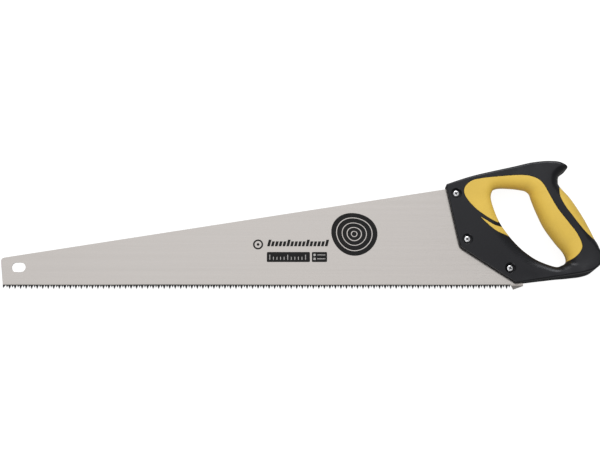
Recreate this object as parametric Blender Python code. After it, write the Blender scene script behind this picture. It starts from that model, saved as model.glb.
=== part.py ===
"""Hand saw for timber: a tapered steel blade screwed between the cheeks of a moulded handle.

The saw lies flat. X runs from the toe of the blade to the handle, Y from the teeth to the back
of the blade, and Z across the blade. Plan points are (x, y) in millimetres on the drawing of the
saw: x = 0 is the toe's bottom corner, y = 0 is the line of the tooth tips, and z = 0 is the
middle of the blade's thickness. The handle's outlines are walked once round the hand hole, and a
station is a place on that walk: 0 at the front top corner, 6 at the horn, 12 at the heel of the
palm, 18 at the lower tip of the cheeks and 21 at their front corner.
"""

import bmesh
import bpy
import numpy as np
from mathutils import Vector

MM = 0.001
DRAWING_CENTRE = (314.52, 67.23)   # plan point that stands over the model's origin
HALF_HEIGHT = 17.85              # blade's mid-plane above the surface that the saw lies on

GAP = 0.3                        # clearance between pieces that touch on the real saw
THROUGH = 12.0                   # a cutter this far each side of the mid-plane goes right through

# Blade
BLADE_THICKNESS = 0.9
TOOTH_PITCH = 2.92
TOOTH_COUNT = 183
TOOTH_DEPTH = 3.2
TEETH_START = 2.6
BARE_TEETH = 150                 # teeth on the part of the blade that stands clear of the handle
TOE_TOP = (-4.3, 32.2)
TOE_RADIUS = 4.0
BACK_SLOPE = 0.1592
HANG_SLOT_CENTRE = (15.6, 22.2)
HANG_SLOT_SIZE = (14.5, 10.1)
HEEL = [(550.2, 4.3), (550.0, 2.1), (539.4, -1.0)]
TANG = [(487.0, 110.4), (494.0, 103.0), (503.0, 62.0), (513.0, 45.0), (548.0, 22.0), (552.0, 14.0)]

# Screws, each with a sleeve nut from the other side
SCREWS = {"top": (481.5, 101.8), "middle": (491.9, 51.7), "bottom": (536.1, 20.2)}
COUNTERBORE_RADIUS = 5.25
COUNTERBORE_FLOOR = 4.0          # height of its floor over the mid-plane, on both cheeks
SLEEVE_RADIUS = 2.5
SLEEVE_BORE = 2.0
SLEEVE_FLANGE = 4.6
SHANK_RADIUS = 1.7
SHANK_END = -2.6
HEAD_RADIUS = 3.5
HEAD_HEIGHT = 1.8
HEAD_SIDE = 0.9                  # upright part of the head's rim
HEAD_CROWN = [(0.5, 0.35), (1.4, 0.0)]   # (in from the rim, down from the top) round its shoulder
CROSS_ARM, CROSS_HALF_BAR, CROSS_DEPTH = 2.1, 0.5, 0.9
FLANGE_THICKNESS = 1.6
FLANGE_CHAMFER = 0.6
SLEEVE_STOP = 1.2                # how far the sleeve's end stays under the screw's head
SLEEVE_BORE_END = -3.0
ROUND_SIDES = 20
SLOT_END_POINTS = 9
TOE_POINTS = 6

# Handle
GRIP_THICKNESS = 2.5
POCKET_RISE = 0.8               # how far a grip's cutter stands over the surface
THIN_END = 0.2                   # share of the thickness left where a grip runs out
FULL_THICKNESS_REACH = 10.0      # a grip this wide on the face has its whole thickness
STATIONS_ROUND = 24.0
FINE_STATIONS = 2000
TURN_WEIGHT = 12.0               # a radian of turning takes as many sections as these millimetres
HANDLE_SECTIONS = 80
MIDDLE_SHARE = 0.4               # where a section's middle lies, from its outline to the hole
OUTER_STEPS, HOLE_STEPS = 3, 4   # steps across the rounding of each edge
FRONT_GRIP_GRID = (46, 6)        # sections along the grip, steps from its seam to its edge
PALM_GRIP_GRID = (16, 4)
INLAY_GRID = (10, 5)             # points along the inlay, and across it
MIN_WALL = 0.35                  # least half-height of an outer or hole wall

OUTER = [
    (0.0, 471.4, 110.6), (0.1, 473.4, 112.6), (1.0, 487.9, 117.7), (2.0, 507.3, 123.2),
    (3.0, 539.8, 130.2), (4.0, 565.0, 134.9), (4.6, 581.6, 135.4), (5.2, 592.0, 133.6),
    (5.7, 598.6, 130.9), (6.0, 600.9, 128.5), (6.3, 597.6, 126.6), (6.9, 592.9, 121.6),
    (7.8, 591.5, 115.5), (9.0, 593.4, 109.3), (10.0, 604.5, 96.0), (11.0, 616.4, 76.1),
    (12.0, 624.1, 59.6), (13.0, 630.1, 43.2), (14.0, 632.9, 30.0), (15.0, 627.4, 20.2),
    (16.0, 614.6, 14.5), (17.0, 581.4, 9.9), (17.9, 545.8, 5.2), (18.0, 543.0, 4.9),
    (18.1, 540.6, 6.2), (20.8, 488.8, 40.7), (21.0, 485.0, 44.0), (21.2, 483.3, 48.6),
    (23.9, 471.6, 108.4),
]
HOLE = [
    (0.0, 520.0, 106.3), (0.7, 523.0, 108.5), (1.5, 530.0, 109.4), (3.0, 542.6, 108.9),
    (4.0, 551.2, 107.8), (5.0, 556.2, 106.5), (6.0, 559.6, 104.2), (7.0, 561.2, 101.2),
    (8.0, 562.0, 98.0), (9.0, 563.4, 93.6), (10.0, 567.8, 81.5), (11.0, 575.0, 65.3),
    (12.0, 586.1, 48.7), (13.0, 594.2, 38.3), (14.0, 597.1, 30.2), (15.0, 595.3, 25.9),
    (16.0, 590.6, 22.9), (17.0, 583.4, 21.8), (18.0, 566.0, 28.7), (19.0, 553.0, 37.7),
    (20.0, 543.5, 47.0), (21.0, 535.5, 57.0), (22.0, 528.4, 71.0), (23.0, 521.5, 87.0),
    (23.5, 518.7, 98.0),
]
FRONT_SEAM = [
    (-1.93, 525.2, 71.3), (-1.75, 518.8, 72.8), (-1.5, 510.4, 77.7), (-1.2, 502.1, 84.3),
    (-0.8, 494.0, 93.5), (-0.4, 490.1, 101.0), (0.0, 490.4, 107.5), (0.4, 494.5, 112.9),
    (0.8, 500.5, 116.3), (1.4, 508.5, 118.0), (2.0, 518.0, 119.2), (3.0, 539.3, 120.9),
    (4.0, 552.0, 121.1), (5.0, 560.6, 119.9), (6.0, 568.8, 116.2), (7.0, 573.5, 111.3),
    (8.0, 576.4, 106.3), (9.0, 579.8, 99.0), (10.0, 587.8, 83.2), (11.0, 597.8, 69.0),
    (12.0, 607.0, 55.5), (13.0, 611.5, 43.5), (13.7, 609.6, 36.8), (14.2, 604.5, 31.3),
    (14.6, 598.8, 27.9),
]
PALM_SEAM = [
    (9.0, 592.2, 108.4), (9.3, 590.8, 102.3), (9.7, 591.1, 96.3), (10.1, 593.4, 90.3),
    (10.5, 597.0, 83.7), (11.0, 602.4, 75.8), (11.5, 608.0, 67.8), (12.0, 615.3, 58.4),
    (12.2, 618.9, 54.6), (12.4, 622.8, 51.5), (12.55, 626.0, 50.1),
]
INLAY_UPPER = [(507.2, 75.4), (514.1, 71.3), (522.4, 66.9), (530.4, 66.6)]
INLAY_LOWER = [(507.0, 74.9), (513.6, 69.0), (523.0, 60.8), (536.6, 55.5)]

# How far the sections' middles are drawn up into the root of the horn, by station
HORN_BEND = [
    (0.0, 0.0, 0.0), (4.2, 0.0, 0.0), (5.2, 4.0, 4.4), (6.0, 3.8, 6.2), (6.9, 5.8, 5.9),
    (7.8, 3.3, 3.7), (9.0, 0.0, 0.0),
]

# Half-thickness of the handle beside its outline and beside the hole, by station
OUTER_HEIGHT = [
    (0.0, 7.5), (2.0, 8.5), (3.2, 10.0), (4.0, 12.0), (4.6, 15.0), (5.2, 17.5), (6.2, 17.5),
    (6.7, 16.0), (7.6, 14.2), (9.0, 14.5), (10.0, 16.0), (12.0, 16.5), (13.0, 17.0),
    (14.0, 17.5), (15.0, 18.0), (16.0, 17.5), (16.5, 14.5), (17.0, 10.5), (17.5, 8.3),
    (18.0, 7.0), (21.0, 7.3),
]
HOLE_HEIGHT = [
    (0.0, 8.5), (2.0, 9.5), (4.0, 10.5), (5.5, 12.0), (7.0, 14.0), (8.5, 16.0), (10.0, 16.5),
    (13.0, 16.5), (14.0, 16.0), (15.0, 14.5), (16.0, 12.5), (17.0, 10.0), (18.0, 8.5),
    (20.0, 8.3), (22.0, 8.5),
]
# Rounding of the edges, by station: how far in it starts, and the share of the height it takes
OUTER_ROUNDING = [
    (0.0, 1.2, 0.15), (1.0, 2.2, 0.28), (4.0, 2.5, 0.28), (4.8, 3.5, 0.35), (5.7, 4.5, 0.4),
    (6.4, 5.0, 0.5), (7.3, 7.0, 0.75), (8.8, 10.0, 0.93), (10.0, 13.0, 0.97),
    (11.5, 13.0, 0.97), (12.3, 11.0, 0.93), (13.0, 6.0, 0.6), (13.8, 2.6, 0.2),
    (15.0, 2.0, 0.12), (17.5, 1.4, 0.14), (18.0, 1.2, 0.15), (23.9, 1.2, 0.15),
]
HOLE_ROUNDING = [
    (0.0, 8.0, 0.62), (2.0, 9.0, 0.66), (4.0, 10.0, 0.7), (5.5, 13.0, 0.85), (7.0, 16.0, 0.95),
    (8.0, 18.0, 0.97), (9.0, 19.0, 0.97), (12.5, 19.0, 0.97), (13.5, 16.0, 0.95),
    (14.3, 12.0, 0.85), (15.0, 8.0, 0.65), (16.0, 7.0, 0.5), (17.5, 8.0, 0.5),
    (18.5, 11.0, 0.52), (20.0, 12.0, 0.55), (21.0, 11.0, 0.55), (22.0, 8.0, 0.55),
    (23.0, 7.0, 0.55), (23.8, 7.5, 0.6),
]


def through(knots, stations, closed=True):
    """Values at the stations of a smooth curve through knots of (station, value, ...)."""
    knots = np.array(knots, float)
    at, value = knots[:, 0], knots[:, 1:]
    if closed:
        at = np.concatenate([at[-2:] - STATIONS_ROUND, at, at[:2] + STATIONS_ROUND])
        value = np.concatenate([value[-2:], value, value[:2]])
        stations = np.asarray(stations, float) % STATIONS_ROUND
    slope = np.zeros_like(value)
    slope[1:-1] = (value[2:] - value[:-2]) / (at[2:] - at[:-2])[:, None]
    slope[0] = (value[1] - value[0]) / (at[1] - at[0])
    slope[-1] = (value[-1] - value[-2]) / (at[-1] - at[-2])
    stations = np.clip(stations, at[0], at[-1])
    i = np.clip(np.searchsorted(at, stations, side="right") - 1, 0, len(at) - 2)
    span = (at[i + 1] - at[i])[:, None]
    x = (stations[:, None] - at[i][:, None]) / span
    start = (1 + 2 * x) * (1 - x) ** 2 * value[i] + x * (1 - x) ** 2 * span * slope[i]
    end = x * x * (3 - 2 * x) * value[i + 1] + x * x * (x - 1) * span * slope[i + 1]
    return start + end


def between(knots, stations):
    """Values at the stations that ease from knot to knot without overshooting."""
    knots = np.array(knots, float)
    at = np.append(knots[:, 0], knots[0, 0] + STATIONS_ROUND)
    value = np.vstack([knots[:, 1:], knots[:1, 1:]])
    stations = np.asarray(stations, float) % STATIONS_ROUND
    i = np.clip(np.searchsorted(at, stations, side="right") - 1, 0, len(at) - 2)
    x = ((stations - at[i]) / (at[i + 1] - at[i]))[:, None]
    return value[i] + (value[i + 1] - value[i]) * x * x * (3 - 2 * x)


LINE_STATIONS = np.linspace(0, STATIONS_ROUND, 480, endpoint=False)
OUTER_LINE = through(OUTER, LINE_STATIONS)
HOLE_LINE = through(HOLE, LINE_STATIONS)


def to_line(plan, line):
    """Distances from plan points to each stretch of a closed line, and its lengths."""
    stretch = np.roll(line, -1, axis=0) - line
    length2 = (stretch ** 2).sum(axis=1)
    offset = plan[:, None, :] - line[None, :, :]
    along = np.clip((offset * stretch).sum(axis=2) / length2, 0, 1)
    away = offset - along[:, :, None] * stretch
    return np.sqrt((away ** 2).sum(axis=2)), np.sqrt(length2)


def rounded_off(distance, rounding, height):
    """How far an edge's rounding brings the face down at this distance from the edge."""
    inward, share = rounding[:, 0], rounding[:, 1]
    x = np.clip(1 - distance / inward, 0, 1)
    return share * height * (1 - np.sqrt(1 - x * x))


def half_thickness(plan):
    """Height of the handle's face over its mid-plane at plan points."""
    to_outer, outer_length = to_line(plan, OUTER_LINE)
    to_hole, hole_length = to_line(plan, HOLE_LINE)
    near_outer = outer_length / np.maximum(to_outer, 1.0) ** 3
    near_hole = hole_length / np.maximum(to_hole, 1.0) ** 3
    outer_height = between(OUTER_HEIGHT, LINE_STATIONS)[:, 0]
    hole_height = between(HOLE_HEIGHT, LINE_STATIONS)[:, 0]
    height = near_outer @ outer_height + near_hole @ hole_height
    height = height / (near_outer.sum(axis=1) + near_hole.sum(axis=1))
    outer_rounding = between(OUTER_ROUNDING, LINE_STATIONS[to_outer.argmin(axis=1)])
    hole_rounding = between(HOLE_ROUNDING, LINE_STATIONS[to_hole.argmin(axis=1)])
    down = rounded_off(to_outer.min(axis=1), outer_rounding, height)
    down += rounded_off(to_hole.min(axis=1), hole_rounding, height)
    return np.maximum(height - down, MIN_WALL)


def both_faces(rows):
    """Rows of plan points as rows of 3-D points: down the front face, back up the rear face."""
    count = rows.shape[1]
    height = half_thickness(rows.reshape(-1, 2)).reshape(-1, count)
    front = np.dstack([rows, height])
    rear = np.dstack([rows, -height])[:, ::-1]
    return np.concatenate([front, rear], axis=1)


def evenly_spaced(first, last, count):
    """Stations from first to last, closer together where the handle's outlines turn."""
    fine = np.linspace(first, last, FINE_STATIONS)
    outer, hole = through(OUTER, fine), through(HOLE, fine)
    travel = np.zeros(len(fine) - 1)
    for line in (outer, hole):
        step = np.diff(line, axis=0)
        length = np.hypot(step[:, 0], step[:, 1])
        heading = np.unwrap(np.arctan2(step[:, 1], step[:, 0]))
        travel += length + TURN_WEIGHT * np.abs(np.diff(heading, append=heading[-1]))
    travel = np.concatenate([[0.0], np.cumsum(travel)])
    return np.interp(np.linspace(0, travel[-1], count), travel, fine)


def near_edge(steps):
    """Shares from 0 to 1 of a rounding's width, closer together by the edge."""
    return 1 - np.cos(np.linspace(0, np.pi / 2, steps + 1))


def new_object(name, mesh, material=None):
    """An object on the drawing's frame, in the scene."""
    piece = bpy.data.objects.new(name, mesh)
    piece.parent = bpy.data.objects["saw_frame"]
    bpy.context.collection.objects.link(piece)
    if material:
        mesh.materials.append(material)
    return piece


def mesh_object(name, points, faces, material=None):
    """A closed mesh from points in millimetres, with its faces pointing out."""
    mesh = bpy.data.meshes.new(name)
    mesh.from_pydata([tuple(float(c) * MM for c in p) for p in points], [], faces)
    solid = bmesh.new()
    solid.from_mesh(mesh)
    bmesh.ops.recalc_face_normals(solid, faces=solid.faces)
    solid.to_mesh(mesh)
    solid.free()
    return new_object(name, mesh, material)


def strip(a, b, closed=False):
    """Quads between two rows of point numbers."""
    pairs = list(zip(a, a[1:], b[1:], b, strict=False))
    if closed:
        pairs.append((a[-1], a[0], b[0], b[-1]))
    return pairs


def ring_body(name, rows, material=None):
    """A closed ring: each row is a whole section, and the last row meets the first."""
    count = rows.shape[1]
    numbers = [list(range(i * count, (i + 1) * count)) for i in range(len(rows))]
    faces = []
    for a, b in zip(numbers, numbers[1:] + numbers[:1], strict=True):
        faces += strip(a, b, closed=True)
    return mesh_object(name, rows.reshape(-1, 3), faces, material)


def outward(rows):
    """Directions square to a grid of points, away from the handle's inside."""
    along = np.gradient(rows, axis=0)
    across = np.gradient(rows, axis=1)
    square = np.cross(along, across)
    square /= np.linalg.norm(square, axis=2, keepdims=True)
    return square * np.sign(square[len(rows) // 2, 0, 2])


def skin_grid(rows):
    """Points and faces of a closed shell under a grid of points, thin where it is narrow."""
    square = outward(rows)
    step = np.linalg.norm(np.diff(rows, axis=1), axis=2)
    reach = step[:, : rows.shape[1] // 2 - 1].sum(axis=1)[:, None, None]
    depth = GRIP_THICKNESS * np.minimum(1.0, THIN_END + reach / FULL_THICKNESS_REACH)
    height, width = rows.shape[:2]
    a = np.arange(height * width).reshape(height, width)
    b = a + height * width
    faces = []
    for i in range(height - 1):
        faces += strip(a[i].tolist(), a[i + 1].tolist())
        faces += strip(b[i].tolist(), b[i + 1].tolist())
    for edge_a, edge_b in ((a[0], b[0]), (a[-1], b[-1]), (a[:, 0], b[:, 0]), (a[:, -1], b[:, -1])):
        faces += strip(edge_a.tolist(), edge_b.tolist())
    points = np.concatenate([rows.reshape(-1, 3), (rows - square * depth).reshape(-1, 3)])
    halves = [half for p, q, r, s in faces for half in ((p, q, r), (p, r, s))]
    return points, halves, square.reshape(-1, 3)


def skin(name, rows, material):
    """A grip: a closed shell that follows the handle's surface."""
    points, faces, _ = skin_grid(rows)
    return mesh_object(name, points, faces, material)


def pocket(name, rows):
    """Cutter for a grip's seat: the grip swollen by the clearance, then drawn out past the face."""
    points, faces, square = skin_grid(rows)
    piece = mesh_object(name, points, faces)
    solid = bmesh.new()
    solid.from_mesh(piece.data)
    solid.normal_update()
    solid.verts.ensure_lookup_table()
    swell = [v.normal * (v.calc_shell_factor() * GAP * MM) for v in solid.verts]
    for vert, move in zip(solid.verts, swell, strict=True):
        vert.co += move
    way_out = {vert.co.to_tuple(7): Vector(d) for vert, d in zip(solid.verts, square, strict=False)}
    face = [f for f in solid.faces if all(v.index < len(square) for v in f.verts)]
    drawn = bmesh.ops.extrude_face_region(solid, geom=face)["geom"]
    for vert in drawn:
        if isinstance(vert, bmesh.types.BMVert):
            vert.co += way_out[vert.co.to_tuple(7)] * POCKET_RISE * MM
    bmesh.ops.delete(solid, geom=[f for f in face if f.is_valid], context="FACES")
    solid.to_mesh(piece.data)
    solid.free()
    return piece


def prism(name, outline, low, high, material=None):
    """An outline drawn out between two heights."""
    count = len(outline)
    points = [(x, y, z) for z in (low, high) for x, y in outline]
    lower, upper = list(range(count)), list(range(count, 2 * count))
    faces = [lower[::-1], upper] + strip(lower, upper, closed=True)
    return mesh_object(name, points, faces, material)


def turned(name, centre, profile, material=None):
    """A turned piece on an upright axis: profile of (radius, height) from pole to pole."""
    x, y = centre
    (_, start), *rings, (_, end) = profile
    angles = np.linspace(0, 2 * np.pi, ROUND_SIDES, endpoint=False)
    points = [(x, y, start), (x, y, end)]
    for radius, height in rings:
        points += [(x + radius * np.cos(a), y + radius * np.sin(a), height) for a in angles]
    numbers = [
        list(range(2 + i * ROUND_SIDES, 2 + (i + 1) * ROUND_SIDES)) for i in range(len(rings))
    ]
    faces = []
    for a, b in zip(numbers, numbers[1:], strict=False):
        faces += strip(a, b, closed=True)
    for pole, row in ((0, numbers[0]), (1, numbers[-1])):
        faces += [(pole, p, q) for p, q in zip(row, row[1:] + row[:1], strict=True)]
    return mesh_object(name, points, faces, material)


def cut(piece, cutter):
    """Takes the cutter out of the piece and keeps it as a wire guide."""
    cutter.hide_render = True
    cutter.display_type = "WIRE"
    boolean = piece.modifiers.new(cutter.name, "BOOLEAN")
    boolean.operation = "DIFFERENCE"
    boolean.object = cutter


def smooth(piece, angle=40.0):
    """Smooth shading with the edges sharper than the angle kept crisp."""
    piece.data.shade_smooth()
    piece.data.set_sharp_from_angle(angle=np.radians(angle))


def finish(name, colour, roughness, metallic=0.0):
    """A plain surface finish."""
    material = bpy.data.materials.new(name)
    material.use_nodes = True
    shader = material.node_tree.nodes["Principled BSDF"]
    shader.inputs["Base Color"].default_value = (*colour, 1.0)
    shader.inputs["Roughness"].default_value = roughness
    shader.inputs["Metallic"].default_value = metallic
    return material


def circle(centre, radius, count, start=0.0, end=2 * np.pi):
    """Points round an arc, both ends included unless it is a whole circle."""
    whole = abs(end - start - 2 * np.pi) < 1e-9
    angles = np.linspace(start, end, count, endpoint=not whole)
    return [(centre[0] + radius * np.cos(a), centre[1] + radius * np.sin(a)) for a in angles]


def fillet(corner, before, after, radius, count):
    """Arc that rounds the corner between the lines to the points before and after it."""
    corner, before, after = (np.array(p, float) for p in (corner, before, after))
    back = (before - corner) / np.linalg.norm(before - corner)
    on = (after - corner) / np.linalg.norm(after - corner)
    half = np.arccos(np.clip(back @ on, -1, 1)) / 2
    centre = corner + (back + on) / np.linalg.norm(back + on) * radius / np.sin(half)
    reach = radius / np.tan(half)
    first, last = corner + back * reach - centre, corner + on * reach - centre
    start, end = np.arctan2(first[1], first[0]), np.arctan2(last[1], last[0])
    turn = (end - start + np.pi) % (2 * np.pi) - np.pi
    return circle(centre, radius, count, start, start + turn)


def back_at(x):
    """Height on the drawing of the blade's straight back."""
    return TOE_TOP[1] + (x - TOE_TOP[0]) * BACK_SLOPE


def hang_slot():
    """Outline of the slot in the toe that the saw hangs by."""
    length, width = HANG_SLOT_SIZE
    reach = (length - width) / 2
    x, y = HANG_SLOT_CENTRE
    half_turn = np.pi / 2
    right = circle((x + reach, y), width / 2, SLOT_END_POINTS, -half_turn, half_turn)
    return right + circle((x - reach, y), width / 2, SLOT_END_POINTS, half_turn, 3 * half_turn)


def divide_flats(piece, x):
    """Edges across the piece at this place, so that its flats end there."""
    solid = bmesh.new()
    solid.from_mesh(piece.data)
    everything = solid.verts[:] + solid.edges[:] + solid.faces[:]
    place = Vector((x * MM, 0, 0))
    bmesh.ops.bisect_plane(solid, geom=everything, plane_co=place, plane_no=(1, 0, 0), dist=1e-6)
    solid.to_mesh(piece.data)
    solid.free()


def make_blade(steel):
    """Blade with its teeth, the hanging slot and a tang with three screw holes."""
    teeth = []
    for i in range(TOOTH_COUNT):
        left = TEETH_START + i * TOOTH_PITCH
        teeth += [(left, TOOTH_DEPTH), (left + TOOTH_PITCH / 2, 0.0)]
    teeth.append((TEETH_START + TOOTH_COUNT * TOOTH_PITCH, TOOTH_DEPTH))
    toe = fillet(TOE_TOP, (0.0, 0.0), TANG[0], TOE_RADIUS, TOE_POINTS)
    outline = [(0.0, 0.0)] + teeth + HEEL[::-1] + TANG[::-1] + toe[::-1]
    half = BLADE_THICKNESS / 2
    blade = prism("blade", outline, -half, half, steel)
    divide_flats(blade, TEETH_START + BARE_TEETH * TOOTH_PITCH)
    cut(blade, prism("cut_hang_slot", hang_slot(), -THROUGH, THROUGH))
    for place, centre in SCREWS.items():
        hole = circle(centre, SLEEVE_RADIUS + GAP, ROUND_SIDES)
        cut(blade, prism("cut_tang_" + place, hole, -THROUGH, THROUGH))


def toward(start, end, distance):
    """Points this far along the way from start to end, row by row."""
    way = end - start
    length = np.linalg.norm(way, axis=1)[:, None]
    return start + way / length * np.minimum(distance, 0.9 * length)


def section_rows(stations):
    """Plan points across the handle from its outline to the hole, a row for each station."""
    outer, hole = through(OUTER, stations), through(HOLE, stations)
    middle = outer + (hole - outer) * MIDDLE_SHARE + between(HORN_BEND, stations)
    outer_reach = between(OUTER_ROUNDING, stations)[:, :1]
    hole_reach = between(HOLE_ROUNDING, stations)[:, :1]
    by_outer = [toward(outer, middle, outer_reach * share) for share in near_edge(OUTER_STEPS)]
    by_hole = [toward(hole, middle, hole_reach * share) for share in near_edge(HOLE_STEPS)[::-1]]
    beyond_middle = (middle + by_hole[0]) / 2
    return np.stack([*by_outer, middle, beyond_middle, *by_hole], axis=1)


def grip_rows(seam, edge, grid):
    """Plan points from a grip's seam to the edge that it wraps, a row for each station."""
    count, steps = grid
    stations = evenly_spaced(seam[0][0], seam[-1][0], count)
    rim = through(edge, stations)
    reach = through(seam, stations, closed=False) - rim
    return np.stack([rim + reach * share for share in near_edge(steps)[::-1]], axis=1)


def inlay_rows():
    """Plan points of the small inlay below the lobe, from its tip to the edge of the hole."""
    along, across = INLAY_GRID
    knots = range(len(INLAY_UPPER))
    at = np.linspace(0, knots[-1], along)
    upper, lower = (
        np.column_stack([np.interp(at, knots, np.array(edge)[:, k]) for k in (0, 1)])
        for edge in (INLAY_UPPER, INLAY_LOWER)
    )
    return np.stack([upper + (lower - upper) * share for share in np.linspace(0, 1, across)])


def make_handle(plastic, rubber):
    """Core moulding with its two soft grips and the inlay let into it."""
    stations = evenly_spaced(0, STATIONS_ROUND, HANDLE_SECTIONS + 1)[:-1]
    core = ring_body("handle_core", both_faces(section_rows(stations)), plastic)
    grips = {
        "front_grip": both_faces(grip_rows(FRONT_SEAM, HOLE, FRONT_GRIP_GRID)),
        "palm_grip": both_faces(grip_rows(PALM_SEAM, OUTER, PALM_GRIP_GRID)),
        "lower_inlay": both_faces(inlay_rows()),
    }
    for name, rows in grips.items():
        smooth(skin(name, rows, rubber))
        cut(core, pocket("cut_" + name, rows))
    half_slot = BLADE_THICKNESS / 2 + GAP
    cut(core, prism("cut_blade_slot", blade_slot(), -half_slot, half_slot))
    for place, centre in SCREWS.items():
        hole = circle(centre, SLEEVE_RADIUS + GAP, ROUND_SIDES)
        cut(core, prism("cut_screw_" + place, hole, -THROUGH, THROUGH))
        bore = circle(centre, COUNTERBORE_RADIUS, ROUND_SIDES)
        cut(core, prism("cut_front_bore_" + place, bore, COUNTERBORE_FLOOR, THROUGH))
        cut(core, prism("cut_rear_bore_" + place, bore, -THROUGH, -COUNTERBORE_FLOOR))
    smooth(core)


def set_off(line, distance):
    """An open line of points moved to its left, with its corners kept sharp."""
    line = np.array(line, float)
    step = np.diff(line, axis=0)
    left = np.column_stack([-step[:, 1], step[:, 0]]) / np.linalg.norm(step, axis=1)[:, None]
    before, after = np.vstack([left[:1], left]), np.vstack([left, left[-1:]])
    mitre = (before + after) / (1 + (before * after).sum(axis=1))[:, None]
    return [tuple(p) for p in line + mitre * distance]


def blade_slot():
    """Outline of the slot for the tang, open along the front of the cheeks and below the heel."""
    front, below = 462.0, -8.0
    heel = HEEL[0]
    rear = [(front, back_at(front))] + TANG + [heel, (heel[0], below)]
    return set_off(rear, GAP) + [(front, below)]


def cross(centre):
    """Outline of the cross recess in a screw's head."""
    arm, bar = CROSS_ARM, CROSS_HALF_BAR
    quarter = [(arm, -bar), (arm, bar), (bar, bar)]
    outline = []
    for _ in range(4):
        outline += quarter
        quarter = [(-y, x) for x, y in quarter]
    return [(centre[0] + x, centre[1] + y) for x, y in outline]


def make_screws(zinc):
    """Three pan-headed screws from the front, each drawn into a sleeve nut from the rear."""
    floor = COUNTERBORE_FLOOR + GAP
    top = floor + HEAD_HEIGHT
    crown = [(HEAD_RADIUS - inward, top - down) for inward, down in HEAD_CROWN]
    screw_profile = [
        (0, SHANK_END), (SHANK_RADIUS, SHANK_END), (SHANK_RADIUS, floor), (HEAD_RADIUS, floor),
        (HEAD_RADIUS, floor + HEAD_SIDE), *crown, (0, top),
    ]
    flange_end, rim = -floor - FLANGE_THICKNESS, SLEEVE_FLANGE - FLANGE_CHAMFER
    sleeve_end = floor - SLEEVE_STOP
    nut_profile = [
        (0, flange_end), (rim, flange_end), (SLEEVE_FLANGE, flange_end + FLANGE_CHAMFER),
        (SLEEVE_FLANGE, -floor), (SLEEVE_RADIUS, -floor), (SLEEVE_RADIUS, sleeve_end),
        (SLEEVE_BORE, sleeve_end), (SLEEVE_BORE, SLEEVE_BORE_END), (0, SLEEVE_BORE_END),
    ]
    for place, centre in SCREWS.items():
        screw = turned("screw_" + place, centre, screw_profile, zinc)
        cut(screw, prism("cut_cross_" + place, cross(centre), top - CROSS_DEPTH, THROUGH))
        smooth(screw)
        smooth(turned("sleeve_nut_" + place, centre, nut_profile, zinc))


def main():
    for leftover in list(bpy.data.objects):
        bpy.data.objects.remove(leftover)
    frame = bpy.data.objects.new("saw_frame", None)
    frame.location = (-DRAWING_CENTRE[0] * MM, -DRAWING_CENTRE[1] * MM, HALF_HEIGHT * MM)
    bpy.context.collection.objects.link(frame)
    make_blade(finish("brushed_steel", (0.53, 0.51, 0.49), 0.32, 0.9))
    black = finish("black_plastic", (0.028, 0.029, 0.032), 0.45)
    yellow = finish("yellow_rubber", (0.72, 0.49, 0.07), 0.6)
    make_handle(black, yellow)
    make_screws(finish("zinc", (0.68, 0.68, 0.7), 0.25, 1.0))


main()
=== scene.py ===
# %% [markdown]
# # A hand saw with a two-colour handle
#
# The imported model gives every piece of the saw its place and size. This script gives the pieces
# their fine shape and their finish.

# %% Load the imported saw
import functools
import math

import bpy
import numpy as np
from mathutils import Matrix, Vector


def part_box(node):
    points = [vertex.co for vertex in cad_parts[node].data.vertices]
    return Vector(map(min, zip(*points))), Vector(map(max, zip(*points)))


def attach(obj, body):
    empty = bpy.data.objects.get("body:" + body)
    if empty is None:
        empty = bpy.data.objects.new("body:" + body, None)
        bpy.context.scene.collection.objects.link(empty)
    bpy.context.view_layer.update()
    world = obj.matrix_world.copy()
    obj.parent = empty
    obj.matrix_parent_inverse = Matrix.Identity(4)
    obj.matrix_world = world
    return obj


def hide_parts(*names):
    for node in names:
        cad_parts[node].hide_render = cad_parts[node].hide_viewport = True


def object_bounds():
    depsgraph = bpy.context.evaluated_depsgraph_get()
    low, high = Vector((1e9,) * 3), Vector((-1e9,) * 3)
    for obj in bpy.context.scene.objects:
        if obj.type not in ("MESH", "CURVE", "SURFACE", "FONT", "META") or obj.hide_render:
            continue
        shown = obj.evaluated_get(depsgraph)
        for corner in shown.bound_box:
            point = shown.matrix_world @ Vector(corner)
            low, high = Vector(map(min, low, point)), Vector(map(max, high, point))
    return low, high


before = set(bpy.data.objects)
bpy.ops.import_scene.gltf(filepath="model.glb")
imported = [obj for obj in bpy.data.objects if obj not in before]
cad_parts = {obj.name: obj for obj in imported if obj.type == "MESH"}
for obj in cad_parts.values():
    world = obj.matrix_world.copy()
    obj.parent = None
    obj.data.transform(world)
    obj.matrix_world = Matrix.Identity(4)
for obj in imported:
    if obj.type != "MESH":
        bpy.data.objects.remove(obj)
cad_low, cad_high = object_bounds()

print("the packed saw is", [round((b - a) * 1000, 1) for a, b in zip(cad_low, cad_high)], "mm")

# %% [markdown]
# ## The drawing and the model
#
# A saw is drawn in plan, in millimetres: x runs from the toe to the handle, y from the tooth tips
# to the back, and z = 0 is the middle of the blade's thickness. The blade's box says where the
# drawing lies in the model: its right end is the tang's corner, its lowest point is the heel.

# %% From the drawing to the model
MM = 0.001
TOUCHING = 1e-6                  # metres: nearer vertices are merged
TANG_END = 552.0
HEEL_BELOW_TEETH = 1.0

blade_low, blade_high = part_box("blade")
DRAWING_ORIGIN = np.array([
    blade_high.x - TANG_END * MM,
    blade_low.y + HEEL_BELOW_TEETH * MM,
    (blade_low.z + blade_high.z) / 2,
])


def to_model(points):
    """Points of the drawing, in millimetres, as places in the model."""
    return np.asarray(points, float) * MM + DRAWING_ORIGIN


def place(x, y, z=0.0):
    """One point of the drawing as a vector in the model."""
    return Vector(to_model((x, y, z)))


print("the drawing's origin is at", DRAWING_ORIGIN.round(5))

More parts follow.
